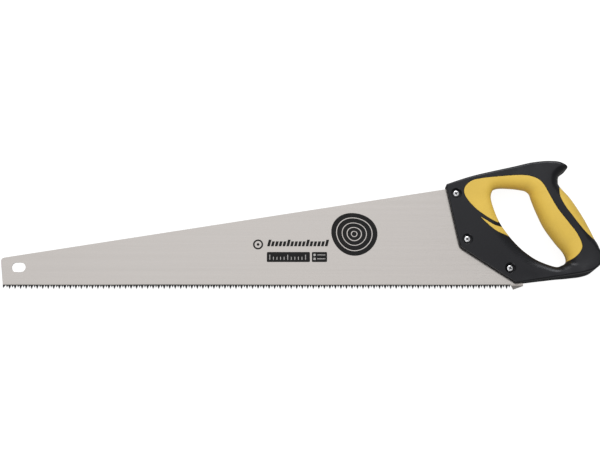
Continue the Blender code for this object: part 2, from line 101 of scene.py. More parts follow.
# %% [markdown]
# ## Camera
#
# The camera stands over the saw and leans 13 degrees towards its teeth, so the lower walls of the
# handle just show. A long lens from 1.3 m keeps the blade's edges almost straight.

# %% Camera
VIEW_TILT = math.radians(13.0)
VIEW_DISTANCE = 1.3
LENS = 72.87
VIEW_CENTRE = (314.1, 68.4)

camera = bpy.data.objects.new("camera", bpy.data.cameras.new("camera"))
bpy.context.collection.objects.link(camera)
camera.data.lens = LENS
back_off = Vector((0, -math.sin(VIEW_TILT), math.cos(VIEW_TILT))) * VIEW_DISTANCE
camera.location = place(*VIEW_CENTRE) + back_off
camera.rotation_euler = (VIEW_TILT, 0, 0)
bpy.context.scene.camera = camera
print("camera at", [round(c, 3) for c in camera.location])

# %% [markdown]
# ## Working by hand in code
#
# An operator acts on whatever is selected, so each step first picks one object, and vertices are
# picked by their place, as a person would with a box select.

# %% Helpers for picking and editing


def pick(piece):
    """Makes this the only selected object, and the active one."""
    for other in bpy.context.selected_objects:
        other.select_set(False)
    piece.select_set(True)
    bpy.context.view_layer.objects.active = piece


def open_up(piece, kind="VERT"):
    """Edit mode, with everything selected."""
    pick(piece)
    bpy.ops.object.mode_set(mode="EDIT")
    bpy.ops.mesh.select_mode(type=kind)
    bpy.ops.mesh.select_all(action="SELECT")


def close_up():
    """Back to object mode."""
    bpy.ops.object.mode_set(mode="OBJECT")


def drawn_points(piece):
    """The places of a piece's vertices on the drawing, in millimetres."""
    spots = np.zeros(len(piece.data.vertices) * 3)
    piece.data.vertices.foreach_get("co", spots)
    return (spots.reshape(-1, 3) - DRAWING_ORIGIN) / MM


def put(piece, points):
    """Moves every vertex of a piece to its point of the drawing."""
    piece.data.vertices.foreach_set("co", to_model(points).reshape(-1))
    piece.data.update()


def select_points(piece, chosen):
    """Edit mode, with the chosen vertices selected."""
    open_up(piece)
    bpy.ops.mesh.select_all(action="DESELECT")
    close_up()
    piece.data.vertices.foreach_set("select", chosen)
    bpy.ops.object.mode_set(mode="EDIT")


def face_outwards(piece):
    """Turns every face of a closed piece outwards."""
    open_up(piece, "FACE")
    bpy.ops.mesh.normals_make_consistent(inside=False)
    close_up()


def smooth(piece, angle=35.0):
    """Smooth shading that stays crisp on edges sharper than the angle."""
    pick(piece)
    bpy.ops.object.shade_smooth_by_angle(angle=math.radians(angle))


def cut_away(piece, cutter):
    """Takes the cutter out of the piece, and throws the cutter away."""
    pick(piece)
    boolean = piece.modifiers.new("cut", "BOOLEAN")
    boolean.object = cutter
    boolean.operation = "DIFFERENCE"
    bpy.ops.object.modifier_apply(modifier=boolean.name)
    bpy.data.objects.remove(cutter)


def join(pieces, name):
    """Joins several pieces into the first one."""
    pick(pieces[0])
    for piece in pieces[1:]:
        piece.select_set(True)
    bpy.ops.object.join()
    pieces[0].name = name
    return pieces[0]


# %% [markdown]
# A flat outline is a circle primitive with one vertex for each point, moved onto the outline and
# then extruded. A turned piece is a profile spun round an upright axis. Both come out closed.

# %% Helpers for extruded and turned pieces
def slab(name, outline, low, high):
    """An outline of the drawing drawn out between two heights."""
    bpy.ops.mesh.primitive_circle_add(vertices=len(outline), fill_type="NGON")
    piece = bpy.context.object
    piece.name = name
    put(piece, [(x, y, low) for x, y in outline])
    open_up(piece)
    rise = (0, 0, (high - low) * MM)
    bpy.ops.mesh.extrude_region_move(TRANSFORM_OT_translate={"value": rise})
    close_up()
    face_outwards(piece)
    return piece


def turned(name, centre, profile, sides=48, closed=False):
    """A profile of (radius, height) spun round the upright axis through a point of the drawing."""
    count = len(profile)
    edges = [(i, i + 1) for i in range(count - 1)] + ([(count - 1, 0)] if closed else [])
    points = to_model([(centre[0] + radius, centre[1], height) for radius, height in profile])
    mesh = bpy.data.meshes.new(name)
    mesh.from_pydata(points.tolist(), edges, [])
    piece = bpy.data.objects.new(name, mesh)
    bpy.context.collection.objects.link(piece)
    open_up(piece)
    middle = place(*centre)
    bpy.ops.mesh.spin(steps=sides, angle=2 * math.pi, center=middle, axis=(0, 0, 1))
    bpy.ops.mesh.select_all(action="SELECT")
    bpy.ops.mesh.remove_doubles(threshold=TOUCHING)
    close_up()
    face_outwards(piece)
    return piece


def round_points(centre, radius, count, start=0.0, turn=2 * math.pi):
    """Points round an arc of the drawing, both ends included unless it is a whole circle."""
    whole = abs(turn - 2 * math.pi) < 1e-9
    angles = np.linspace(start, start + turn, count, endpoint=not whole)
    return [(centre[0] + radius * math.cos(a), centre[1] + radius * math.sin(a)) for a in angles]


# %% [markdown]
# ## Blade
#
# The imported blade's teeth are plain Vs. A real tooth is ground on a slant, each the other way round
# from the last, and is bent a little to one side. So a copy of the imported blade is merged, cut along
# the gullets, and its tips and gullets are slid to their ground places.

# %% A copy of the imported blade
TOOTH_PITCH, TOOTH_COUNT = 2.92, 183
TOOTH_DEPTH = 3.2
TEETH_START = 2.6

blade = bpy.data.objects.new("saw_blade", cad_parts["blade"].data.copy())
bpy.context.collection.objects.link(blade)
open_up(blade)
bpy.ops.mesh.customdata_custom_splitnormals_clear()
bpy.ops.mesh.remove_doubles(threshold=TOUCHING)
bpy.ops.mesh.dissolve_limited(angle_limit=math.radians(0.5))
close_up()
open_up(blade)
bpy.ops.mesh.bisect(plane_co=place(0, TOOTH_DEPTH), plane_no=(0, 1, 0), threshold=1e-5)
close_up()
print("the blade has", len(blade.data.vertices), "vertices")

# %% Grind and set the teeth
FRONT_SLIDE, REAR_SLIDE = 0.42, 0.12     # how far the slant moves a gullet on each face
GRIND_SHORTEN = 0.4                      # how much shorter a tooth is on the face it is ground from
TOOTH_SET = 0.16                         # how far a tip is bent out of the sheet
LONG_TOOTH, SHORT_TOOTH = -1.35, 0.3     # how far the tips of the two kinds of tooth are moved
HEEL_START, HEEL_DROP = 537.0, -0.8


def slide_points(chosen, x=0.0, y=0.0, z=0.0):
    """Moves the chosen vertices of the blade by millimetres."""
    select_points(blade, chosen)
    bpy.ops.transform.translate(value=(x * MM, y * MM, z * MM))
    close_up()


spots = drawn_points(blade)
counted = (spots[:, 0] - TEETH_START) / TOOTH_PITCH
front = spots[:, 2] > 0
in_row = (counted > -0.25) & (counted < TOOTH_COUNT + 0.25)
tips = in_row & (spots[:, 1] < 0.1 * TOOTH_DEPTH)
gullets = in_row & (abs(spots[:, 1] - TOOTH_DEPTH) < 0.1) & (abs(counted - counted.round()) < 0.05)
even_tip = (counted - 0.5).round() % 2 == 0
even_gullet = counted.round() % 2 == 0
for side, shortened, slide in ((front, even_tip, FRONT_SLIDE), (~front, ~even_tip, REAR_SLIDE)):
    slide_points(tips & side & shortened, y=GRIND_SHORTEN)
    slide_points(gullets & side & even_gullet, x=slide)
    slide_points(gullets & side & ~even_gullet, x=-slide)
slide_points(tips & even_tip, y=SHORT_TOOTH, z=-TOOTH_SET)
slide_points(tips & ~even_tip, y=LONG_TOOTH, z=TOOTH_SET)
slide_points((spots[:, 0] > HEEL_START) & (spots[:, 1] < -HEEL_BELOW_TEETH / 2), y=HEEL_DROP)
print(int(tips.sum()) // 2, "teeth ground")

# %% [markdown]
# The toe's slot is cut again with a cutter of many sides, and the sheet's edges get a fine bevel.
# The teeth stay sharp.

# %% Hanging slot and broken edges
HANG_SLOT_CENTRE = (15.6, 22.2)
HANG_SLOT_REACH = 2.2                    # from the slot's centre to the middle of each round end
HANG_SLOT_RADIUS = 5.06
BROKEN_EDGE = 0.12
BROKEN_UNTIL = 470.0                     # the cheeks hide the rest
CUT_DEPTH = 3.0

slot_ends = []
for sign in (1, -1):
    middle = (HANG_SLOT_CENTRE[0] + sign * HANG_SLOT_REACH, HANG_SLOT_CENTRE[1])
    slot_ends += round_points(middle, HANG_SLOT_RADIUS, 32, -sign * math.pi / 2, math.pi)
cut_away(blade, slab("slot_cutter", slot_ends, -CUT_DEPTH, CUT_DEPTH))

open_up(blade, "EDGE")
bpy.ops.mesh.select_all(action="DESELECT")
bpy.ops.mesh.edges_select_sharp(sharpness=math.radians(60))
close_up()
spots = drawn_points(blade)
on_sheet = (spots[:, 1] > TOOTH_DEPTH + 0.2) & (spots[:, 0] < BROKEN_UNTIL)
for edge in blade.data.edges:
    a, b = edge.vertices
    level = abs(spots[a, 2] - spots[b, 2]) < 0.01
    edge.select = bool(edge.select and level and on_sheet[a] and on_sheet[b])
bpy.ops.object.mode_set(mode="EDIT")
bpy.ops.mesh.bevel(offset=BROKEN_EDGE * MM, segments=2, affect="EDGES")
close_up()
face_outwards(blade)
smooth(blade, 12.0)
print("the finished blade has", len(blade.data.polygons), "faces")

# %% [markdown]
# ## Printed marks
#
# The blade carries plain marks of its own: a ring, a band of slanted strokes, two bars with tick
# lines, and the growth rings of a log. Each is a thin film of ink on the front of the blade.

# %% Ink films
INK_LOW, INK_HIGH, TICK_HIGH = 0.44, 0.475, 0.49
TICK_OVERLAP = 0.01
RING_CENTRE = (269.4, 47.0)
LOG_CENTRE = (372.0, 58.5)
GROWTH_RINGS = ((3.4, 7.0), (7.9, 12.2), (13.0, 18.0), (18.9, 24.0))
BARS_LOW, BARS_HIGH = 27.9, 38.8


def film(outline, low=INK_LOW, high=INK_HIGH):
    """A flat patch of ink."""
    return slab("film", outline, low, high)


def rounded_box(left, right, low, high, radius):
    """Outline of a box with round corners."""
    corners = [
        ((right - radius, low + radius), -math.pi / 2), ((right - radius, high - radius), 0.0),
        ((left + radius, high - radius), math.pi / 2), ((left + radius, low + radius), math.pi),
    ]
    return [p for c, start in corners for p in round_points(c, radius, 6, start, math.pi / 2)]


def leaning_stroke(left, low, width, height, lean=0.25):
    """Outline of an upright stroke that leans to the right."""
    shift, top = height * lean, low + height
    return [(left, low), (left + width, low), (left + width + shift, top), (left + shift, top)]


def film_ring(centre, inner, outer, wobble=0.0):
    """A flat ring of ink, a little out of round."""
    profile = [(inner, INK_LOW), (outer, INK_LOW), (outer, INK_HIGH), (inner, INK_HIGH)]
    ring = turned("ring", centre, profile, 72, closed=True)
    spots = drawn_points(ring)
    arm = spots[:, :2] - centre
    angle = np.arctan2(arm[:, 1], arm[:, 0])
    swell = 1 + wobble * (np.cos(2 * angle + 0.7) + 0.6 * np.cos(3 * angle - 1.1))
    spots[:, :2] = centre + arm * swell[:, None]
    put(ring, spots)
    return ring


films = [film_ring(RING_CENTRE, 3.7, 5.4), film(round_points(RING_CENTRE, 1.5, 24))]
for i in range(16):
    films.append(film(leaning_stroke(279.0 + 4.1 * i, 45.0, 2.9, 7.2 if i % 5 == 0 else 5.4)))
for left, right in ((278.8, 324.7), (326.7, 342.9)):
    films.append(film(rounded_box(left, right, BARS_LOW, BARS_HIGH, 1.2)))
films.append(film(round_points(LOG_CENTRE, 2.6, 24)))
films += [film_ring(LOG_CENTRE, inner, outer, 0.035) for inner, outer in GROWTH_RINGS]
blade_print = join(films, "blade_print")
print("the print has", len(blade_print.data.polygons), "faces")

# %% Pale ticks on the bars
marks = []
for i in range(11):
    marks.append(leaning_stroke(281.6 + 3.8 * i, 30.4, 0.8, 5.4 if i % 5 == 0 else 3.2, lean=0.0))
for low in (34.4, 30.2):
    marks.append(rounded_box(328.4, 330.8, low, low + 2.4, 0.3))
    marks.append(rounded_box(332.4, 341.0, low + 0.8, low + 1.6, 0.3))
ticks = [film(mark, INK_HIGH - TICK_OVERLAP, TICK_HIGH) for mark in marks]
pale_ticks = join(ticks, "pale_ticks")
print("the ticks have", len(pale_ticks.data.polygons), "faces")

# %% [markdown]
# ## The handle's curves
#
# The handle is a ring, and its outlines are walked once round the hand hole. A station is a place
# on that walk: 0 at the front top corner, 6 at the horn, 12 at the heel of the palm, 18 at the lower
# tip of the cheeks and 21 at their front corner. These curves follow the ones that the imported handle
# was made from. They differ from them by up to about two millimetres at the front top corner, the horn
# and its underside, the hole's side towards the blade, and the ends of the lobe and the leaf.

# %% Outlines of the handle
STATIONS_ROUND = 24.0

OUTER = [
    (0, 471.35, 111.6), (0.03, 471.9, 112.05), (0.1, 473.4, 112.6), (1, 487.9, 117.7),
    (2, 507.3, 123.2),
    (3, 539.8, 130.3), (4, 565, 135.6), (4.6, 581.6, 136.6), (5.2, 592.4, 135.3),
    (5.7, 599.2, 132.4), (6, 601.3, 129.2), (6.3, 597.9, 126.2), (6.9, 592.9, 121.6),
    (7.8, 591.5, 115.5), (9, 593.4, 109.3), (10, 604.5, 96), (11, 616.4, 76.1),
    (12, 624.1, 59.6), (13, 630.1, 43.2), (14, 632.9, 30), (15, 627.4, 20.2),
    (16, 614.6, 14.5), (17, 581.4, 9.9), (17.9, 545.8, 5.2), (18, 543, 4.9),
    (18.1, 540.6, 6.2), (20.8, 488.8, 40.7), (21, 485, 44), (21.2, 483.3, 48.6),
    (23.9, 471.6, 108.4), (23.97, 471.2, 110.7),
]
HOLE = [
    (0, 521, 105.7), (0.7, 524.6, 108.5), (1.5, 530.6, 109.4), (3, 542.6, 108.9),
    (4, 551.2, 107.8), (5, 556.2, 106.5), (6, 559.6, 104.2), (7, 561.2, 101.2),
    (8, 562, 98), (9, 563.4, 93.6), (10, 567.8, 81.5), (11, 575, 65.3),
    (12, 586.1, 48.7), (13, 594.2, 38.3), (14, 597.1, 30.2), (15, 595.3, 25.9),
    (16, 590.6, 22.9), (17, 583.4, 21.8), (18, 566, 28.7), (19, 553, 37.7),
    (20, 543.5, 47), (21, 535.5, 57), (22, 526.9, 70.6), (23, 520.8, 87),
    (23.5, 518.7, 98),
]

# %% Seams of the soft grips
FRONT_SEAM = [
    (-2.02, 524.8, 69.5), (-1.8, 518.4, 72.5), (-1.5, 510.4, 77.7), (-1.2, 502.1, 84.3),
    (-0.8, 494, 93.5), (-0.4, 490.1, 101), (0, 490.4, 107.5), (0.4, 494.5, 112.9),
    (0.8, 500.5, 116.3), (1.4, 508.5, 118), (2, 518, 119.2), (3, 539.3, 120.9),
    (4, 552, 121.1), (5, 560.6, 119.9), (6, 568.8, 116.2), (7, 573.5, 111.3),
    (8, 576.4, 106.3), (9, 579.8, 99), (10, 587.8, 83.2), (11, 597.8, 69),
    (12, 607, 55.5), (13, 611.5, 43.5), (13.7, 609.6, 36.8), (14.2, 604.5, 31.3),
    (14.6, 598.8, 27.9),
]
PALM_SEAM = [
    (9, 592.2, 108.4), (9.3, 590.8, 102.3), (9.7, 591.1, 96.3), (10.1, 593.4, 90.3),
    (10.5, 597, 83.7), (11, 602.4, 75.8), (11.5, 608, 67.8), (12, 615.3, 58.4),
    (12.2, 618.9, 54.6), (12.4, 622.8, 51.5), (12.55, 626, 50.1),
]
INLAY_UPPER = [(0, 507.2, 75.4), (1, 514.3, 70.9), (2, 521.9, 66.4), (3, 529.4, 64.8)]
INLAY_LOWER = [(0, 507, 74.9), (1, 513.3, 68.4), (2, 523.4, 60), (3, 537.2, 54.4)]

# %% [markdown]
# The handle's thickness is a field over the plan: a height beside the outline and a height beside
# the hole, blended by distance, less the rounding that each edge takes off.

# %% Heights and roundings round the handle
OUTER_HEIGHT = [
    (0, 7.5), (2, 8.5), (3.2, 10), (4, 12), (4.6, 15), (5.2, 17.5), (6.2, 17.5),
    (6.7, 16), (7.6, 14.2), (9, 14.5), (10, 16), (12, 16.5), (13, 17),
    (14, 17.5), (15, 18), (16, 17.5), (16.5, 14.5), (17, 10.5), (17.5, 8.3),
    (18, 7), (21, 7.3),
]
HOLE_HEIGHT = [
    (0, 8.5), (2, 9.5), (4, 10.5), (5.5, 12), (7, 14), (8.5, 16), (10, 16.5),
    (13, 16.5), (14, 16), (15, 14.5), (16, 12.5), (17, 10), (18, 8.5),
    (20, 8.3), (22, 8.5),
]
OUTER_ROUNDING = [
    (0, 1.2, 0.15), (1, 2.2, 0.28), (4, 2.5, 0.28), (4.8, 3.5, 0.35), (5.7, 5.5, 0.45),
    (6.4, 7.5, 0.62), (7.3, 9.5, 0.82), (8.8, 10, 0.93), (10, 13, 0.97),
    (11.5, 13, 0.97), (12.3, 11, 0.93), (13, 6, 0.6), (13.8, 2.6, 0.2),
    (15, 2, 0.12), (17.5, 1.4, 0.14), (18, 1.2, 0.15), (23.9, 1.2, 0.15),
]
HOLE_ROUNDING = [
    (0, 8, 0.62), (2, 9, 0.66), (4, 10, 0.7), (5.5, 13, 0.85), (7, 16, 0.95),
    (8, 18, 0.97), (9, 19, 0.97), (12.5, 19, 0.97), (13.5, 16, 0.95),
    (14.3, 12, 0.85), (15, 8, 0.65), (16, 7, 0.5), (17.5, 8, 0.5),
    (18.5, 11, 0.52), (20, 12, 0.55), (21, 11, 0.55), (22, 8, 0.55),
    (23, 7, 0.55), (23.8, 7.5, 0.6),
]


# %% Smooth curves through the stations
def through(knots, stations, closed=True):
    """Values at the stations of a smooth curve through knots of (station, value, ...)."""
    knots = np.array(knots, float)
    at, value = knots[:, 0], knots[:, 1:]
    if closed:
        at = np.concatenate([at[-2:] - STATIONS_ROUND, at, at[:2] + STATIONS_ROUND])
        value = np.concatenate([value[-2:], value, value[:2]])
        stations = np.asarray(stations, float) % STATIONS_ROUND
    slope = np.zeros_like(value)
    slope[1:-1] = (value[2:] - value[:-2]) / (at[2:] - at[:-2])[:, None]
    slope[0] = (value[1] - value[0]) / (at[1] - at[0])
    slope[-1] = (value[-1] - value[-2]) / (at[-1] - at[-2])
    stations = np.clip(stations, at[0], at[-1])
    i = np.clip(np.searchsorted(at, stations, side="right") - 1, 0, len(at) - 2)
    span = (at[i + 1] - at[i])[:, None]
    x = (stations[:, None] - at[i][:, None]) / span
    start = (1 + 2 * x) * (1 - x) ** 2 * value[i] + x * (1 - x) ** 2 * span * slope[i]
    end = x * x * (3 - 2 * x) * value[i + 1] + x * x * (x - 1) * span * slope[i + 1]
    return start + end


def between(knots, stations):
    """Values at the stations that ease from knot to knot without overshooting."""
    knots = np.array(knots, float)
    at = np.append(knots[:, 0], knots[0, 0] + STATIONS_ROUND)
    value = np.vstack([knots[:, 1:], knots[:1, 1:]])
    stations = np.asarray(stations, float) % STATIONS_ROUND
    i = np.clip(np.searchsorted(at, stations, side="right") - 1, 0, len(at) - 2)
    x = ((stations - at[i]) / (at[i + 1] - at[i]))[:, None]
    return value[i] + (value[i + 1] - value[i]) * x * x * (3 - 2 * x)


# %% The field of heights
LINE_STATIONS = np.linspace(0, STATIONS_ROUND, 480, endpoint=False)
EDGES = (
    (through(OUTER, LINE_STATIONS), OUTER_HEIGHT, OUTER_ROUNDING),
    (through(HOLE, LINE_STATIONS), HOLE_HEIGHT, HOLE_ROUNDING),
)
LEAST_HEIGHT = 0.35
BATCH = 4000


def to_line(plan, line):
    """Distances from plan points to each stretch of a closed line, and the stretches' lengths."""
    stretch = np.roll(line, -1, axis=0) - line
    length2 = (stretch ** 2).sum(axis=1)
    offset = plan[:, None, :] - line[None, :, :]
    along = np.clip((offset * stretch).sum(axis=2) / length2, 0, 1)
    away = offset - along[:, :, None] * stretch
    return np.sqrt((away ** 2).sum(axis=2)), np.sqrt(length2)


def rounded_off(distance, rounding, height):
    """How far an edge's rounding brings the face down at this distance from the edge."""
    inward, share = rounding[:, 0], rounding[:, 1]
    x = np.clip(1 - distance / inward, 0, 1)
    return share * height * (1 - np.sqrt(1 - x * x))


def height_and_rims(plan):
    """Half-thickness of the handle at plan points, and how far the outline and the hole are."""
    total, weight, rims, roundings = 0, 0, [], []
    for line, heights, rounding in EDGES:
        away, length = to_line(plan, line)
        near = length / np.maximum(away, 1.0) ** 3
        total = total + near @ between(heights, LINE_STATIONS)[:, 0]
        weight = weight + near.sum(axis=1)
        rims.append(away.min(axis=1))
        roundings.append(between(rounding, LINE_STATIONS[away.argmin(axis=1)]))
    height = total / weight
    down = sum(rounded_off(rim, rounding, height) for rim, rounding in zip(rims, roundings))
    return np.column_stack([np.maximum(height - down, LEAST_HEIGHT), *rims])


def measured(rows):
    """Height, distance to the outline and distance to the hole, for a grid of plan points."""
    plan = rows.reshape(-1, 2)
    batches = [height_and_rims(plan[i:i + BATCH]) for i in range(0, len(plan), BATCH)]
    return np.concatenate(batches).reshape(*rows.shape[:2], 3)


print("the cheek is", 2 * round(float(measured(np.array([[(500.0, 60.0)]]))[0, 0, 0]), 2), "mm thick")

# %% [markdown]
# ## Sections across the handle
#
# The core starts as a grid primitive, whose rows are rolled up into sections of the handle: from the
# outline over the front to the hole, down the hole's wall and back over the rear. Merging the first
# and last rows and columns closes the ring. At the grips' seams the core steps down into their seats.

# %% Stations for the sections
SECTION_COUNT = 420
TURN_WEIGHT = 12.0               # a radian of turning takes as many sections as these millimetres
FRONT_ENDS = (FRONT_SEAM[0][0], FRONT_SEAM[-1][0])
PALM_ENDS = (PALM_SEAM[0][0], PALM_SEAM[-1][0])
SEAT_EDGE = [(-0.3, 0.0), (-0.1, 0.05), (0.0, 0.25), (0.06, 1.0)]   # (mm into the seat, sunk share)


def evenly_spaced(first, last, count):
    """Stations from first to last, closer together where the outlines turn."""
    fine = np.linspace(first, last, 6000)
    travel = np.zeros(len(fine) - 1)
    for line in (through(OUTER, fine), through(HOLE, fine)):
        step = np.diff(line, axis=0)
        heading = np.unwrap(np.arctan2(step[:, 1], step[:, 0]))
        travel += np.hypot(step[:, 0], step[:, 1])
        travel += TURN_WEIGHT * np.abs(np.diff(heading, append=heading[-1]))
    travel = np.concatenate([[0.0], np.cumsum(travel)])
    return np.interp(np.linspace(0, travel[-1], count), travel, fine)


def near_ends(ends, edge, steps):
    """Stations a few steps of (millimetres, ...) in from both ends of a stretch of an edge."""
    lists = []
    for end, sign in zip(ends, (1, -1)):
        near = through(edge, np.array([end - 0.01, end + 0.01]))
        stations_per_mm = 0.02 / np.linalg.norm(near[1] - near[0])
        lists.append([end + sign * step[0] * stations_per_mm for step in steps[::sign]])
    return lists


def seat_knots(ends, edge):
    """Stations and sunk shares of the walls at the two ends of a grip's seat."""
    start, finish = near_ends(ends, edge, SEAT_EDGE)
    shares = [share for _, share in SEAT_EDGE]
    return list(zip(start + finish, shares + shares[::-1]))


def sunk_along(stations, ends, edge):
    """How deep in a grip's seat each section is, from 0 to 1."""
    at, share = np.array(seat_knots(ends, edge)).T
    wrapped = (stations - ends[0] + 2.0) % STATIONS_ROUND + ends[0] - 2.0
    return np.interp(wrapped, at, share, left=0.0, right=0.0)


core_stations = list(evenly_spaced(0, STATIONS_ROUND, SECTION_COUNT + 1)[:-1])
for ends, edge in ((FRONT_ENDS, HOLE), (PALM_ENDS, OUTER)):
    core_stations += [station % STATIONS_ROUND for station, _ in seat_knots(ends, edge)]
core_stations = np.array(sorted(core_stations))
print(len(core_stations), "sections round the core")

# %% The seams, carried on beside the edges where no grip is
def seam_all_round(seam, edge, other, stations):
    """Plan points of a seam at every station. Past its ends it keeps close beside the edge."""
    first, last = seam[0][0], seam[-1][0]
    wrapped = (stations - first) % STATIONS_ROUND + first
    on_seam = wrapped <= last
    rim = through(edge, stations)
    across = through(other, stations) - rim
    across /= np.linalg.norm(across, axis=1)[:, None]
    beside = np.column_stack([-across[:, 1], across[:, 0]])

    def local(station):
        at = np.array([station])
        way = through(other, at)[0] - through(edge, at)[0]
        way /= np.linalg.norm(way)
        offset = through(seam, at, closed=False)[0] - through(edge, at)[0]
        return np.array([offset @ way, offset @ np.array([-way[1], way[0]])])

    share = np.clip((wrapped - last) / (STATIONS_ROUND - (last - first)), 0, 1)[:, None]
    kept = local(last) * (1 - share) + local(first) * share
    free = rim + across * kept[:, :1] + beside * kept[:, 1:]
    held = through(seam, np.where(on_seam, wrapped, first), closed=False)
    return np.where(on_seam[:, None], held, free)


# %% Columns across one face
OUTER_STEPS, MIDDLE_STEPS, HOLE_STEPS = 9, 18, 13
WALL_SHARES = np.array((0.6, 0.2, -0.2, -0.6))


def closer_at_end(steps):
    """Shares from 0 to 1, closer together by 1."""
    return np.sin(np.linspace(0, np.pi / 2, steps))


def closer_at_both(steps):
    """Shares from 0 to 1, closer together by both."""
    return 0.5 - 0.5 * np.cos(np.linspace(0, np.pi, steps))


def spread(start, end, shares, skip_start=0.0, skip_end=0.0):
    """Points between two lines of points, leaving out some millimetres at each end."""
    way = end - start
    way = way / np.linalg.norm(way, axis=1)[:, None]
    a, b = start + way * skip_start, end - way * skip_end
    return [a + (b - a) * share for share in shares]


def core_rows(stations):
    """Plan points across the handle, and the sunk share of each column for both seats."""
    outer, hole = through(OUTER, stations), through(HOLE, stations)
    palm = seam_all_round(PALM_SEAM, OUTER, HOLE, stations)
    seam = seam_all_round(FRONT_SEAM, HOLE, OUTER, stations)
    wide, narrow, into = (abs(SEAT_EDGE[i][0]) for i in (0, 1, 3))
    columns = spread(outer, palm, 1 - np.cos(np.linspace(0, np.pi / 2, OUTER_STEPS)), 0.0, into)
    columns += [palm] + spread(palm, seam, (0.0,), narrow) + spread(palm, seam, (0.0,), wide)
    columns += spread(palm, seam, closer_at_both(MIDDLE_STEPS + 2)[1:-1], wide, wide)
    columns += spread(seam, palm, (0.0,), wide) + spread(seam, palm, (0.0,), narrow) + [seam]
    columns += spread(seam, hole, closer_at_end(HOLE_STEPS), into, 0.0)
    shares = [share for _, share in SEAT_EDGE]
    palm_sunk, front_sunk = np.zeros((2, len(columns)))
    palm_sunk[:OUTER_STEPS] = 1.0
    palm_sunk[OUTER_STEPS:OUTER_STEPS + 3] = shares[2::-1]
    front_sunk[-HOLE_STEPS:] = 1.0
    front_sunk[-HOLE_STEPS - 3:-HOLE_STEPS] = shares[:3]
    return np.stack(columns, axis=1), palm_sunk, front_sunk


plan_rows, palm_sunk, front_sunk = core_rows(core_stations)
print("each face has", plan_rows.shape[1], "columns")

# %% [markdown]
# Every quadrilateral between two sections has to turn the same way round, or the surface would
# cross itself there.

# %% Test the plan for folds


def folded(rows):
    """How many quadrilaterals of a plan grid turn the wrong way."""
    a, b = rows[:-1, :-1], rows[1:, :-1]
    c, d = rows[1:, 1:], rows[:-1, 1:]
    first, second = c - a, d - b
    area = first[..., 0] * second[..., 1] - first[..., 1] * second[..., 0]
    return int((area * np.sign(np.median(area)) < -1e-6).sum())


print("folded quadrilaterals:", folded(np.concatenate([plan_rows, plan_rows[:1]])))

# %% The core's ring
SEAT_DEPTH = 1.5


def both_sides(face, wall=None):
    """Values of a face's columns, carried down the wall and back over the other face."""
    wall = face[:, -1:] if wall is None else np.full_like(face[:, :1], wall)
    walls = np.repeat(wall, len(WALL_SHARES), axis=1)
    return np.concatenate([face, walls, face[:, ::-1]], axis=1)


def faces_and_wall(rows, heights):
    """3-D points from the first column over the front, down the wall at the last and back."""
    face = np.ones(rows.shape[1])
    return np.dstack([both_sides(rows), both_sides(heights) * np.concatenate([face, WALL_SHARES, -face])])


def squares(grid, closed):
    """Directions square to a grid's surface, out of the handle."""
    if closed:
        along, across = (np.roll(grid, -1, axis) - np.roll(grid, 1, axis) for axis in (0, 1))
    else:
        along, across = np.gradient(grid, axis=(0, 1))
    square = np.cross(along, across)
    square /= np.maximum(np.linalg.norm(square, axis=2, keepdims=True), 1e-12)
    return square * np.sign(square[len(grid) // 2, 3, 2])


readings = measured(plan_rows)
outer_rim = np.repeat(plan_rows[:, :1], len(WALL_SHARES), axis=1)
outer_wall = np.dstack([outer_rim, -readings[:, :1, 0] * WALL_SHARES])
grid = np.concatenate([faces_and_wall(plan_rows, readings[..., 0]), outer_wall], axis=1)
along_front = sunk_along(core_stations, FRONT_ENDS, HOLE)
along_palm = sunk_along(core_stations, PALM_ENDS, OUTER)
across_front = np.append(both_sides(front_sunk[None], 1.0), np.zeros(len(WALL_SHARES)))
across_palm = np.append(both_sides(palm_sunk[None], 0.0), np.ones(len(WALL_SHARES)))
sunk = np.maximum(along_front[:, None] * across_front, along_palm[:, None] * across_palm)
points = grid - squares(grid, closed=True) * (SEAT_DEPTH * sunk)[..., None]
sections, around = grid.shape[:2]
bpy.ops.mesh.primitive_grid_add(x_subdivisions=around, y_subdivisions=sections)
core = bpy.context.object
core.name = "handle_moulding"
put(core, np.pad(points, ((0, 1), (0, 1), (0, 0)), mode="wrap").reshape(-1, 3))


# %% How near each point is to a rim, kept for the wear of the finish
WEAR_WIDTH = 1.2


def note(piece, name, values):
    """Keeps one number for each vertex, for a material to read."""
    attribute = piece.data.attributes.new(name, "FLOAT", "POINT")
    attribute.data.foreach_set("value", np.asarray(values, np.float32).reshape(-1))


near_rim = np.exp(-np.minimum(readings[..., 1], readings[..., 2]) / WEAR_WIDTH)
for name, face, wall in (("rim", near_rim, 0.0), ("wall", near_rim * 0, 1.0)):
    values = np.hstack([both_sides(face, wall), np.full((sections, len(WALL_SHARES)), wall)])
    note(core, name, np.pad(values, ((0, 1), (0, 1)), mode="wrap"))

# %% Close the ring
open_up(core)
bpy.ops.mesh.remove_doubles(threshold=TOUCHING)
close_up()
face_outwards(core)
print("the core has", len(core.data.polygons), "faces before it is cut")

# %% [markdown]
# ## Soft grips
#
# A grip is a shell moulded over the core. Solidify gives a grid primitive its second layer and the
# rim, and then both layers are put in place: the outer one on the handle's surface, with a rounded
# shoulder along the seam, and the inner one a wall's thickness below it.

# %% Grips from grids
GRIP_WALL = 1.3
SHOULDER = [(0.13, 0.46), (0.2, 0.24), (0.34, 0.09), (0.6, 0.0)]   # (mm in from the seam, mm down)
SHADE_START, SHADE_RISE, SHADE_WIDTH = 0.3, 2.0, 4.0      # where the grip is painted deeper in colour towards the hole, a painted shade: stations, and mm
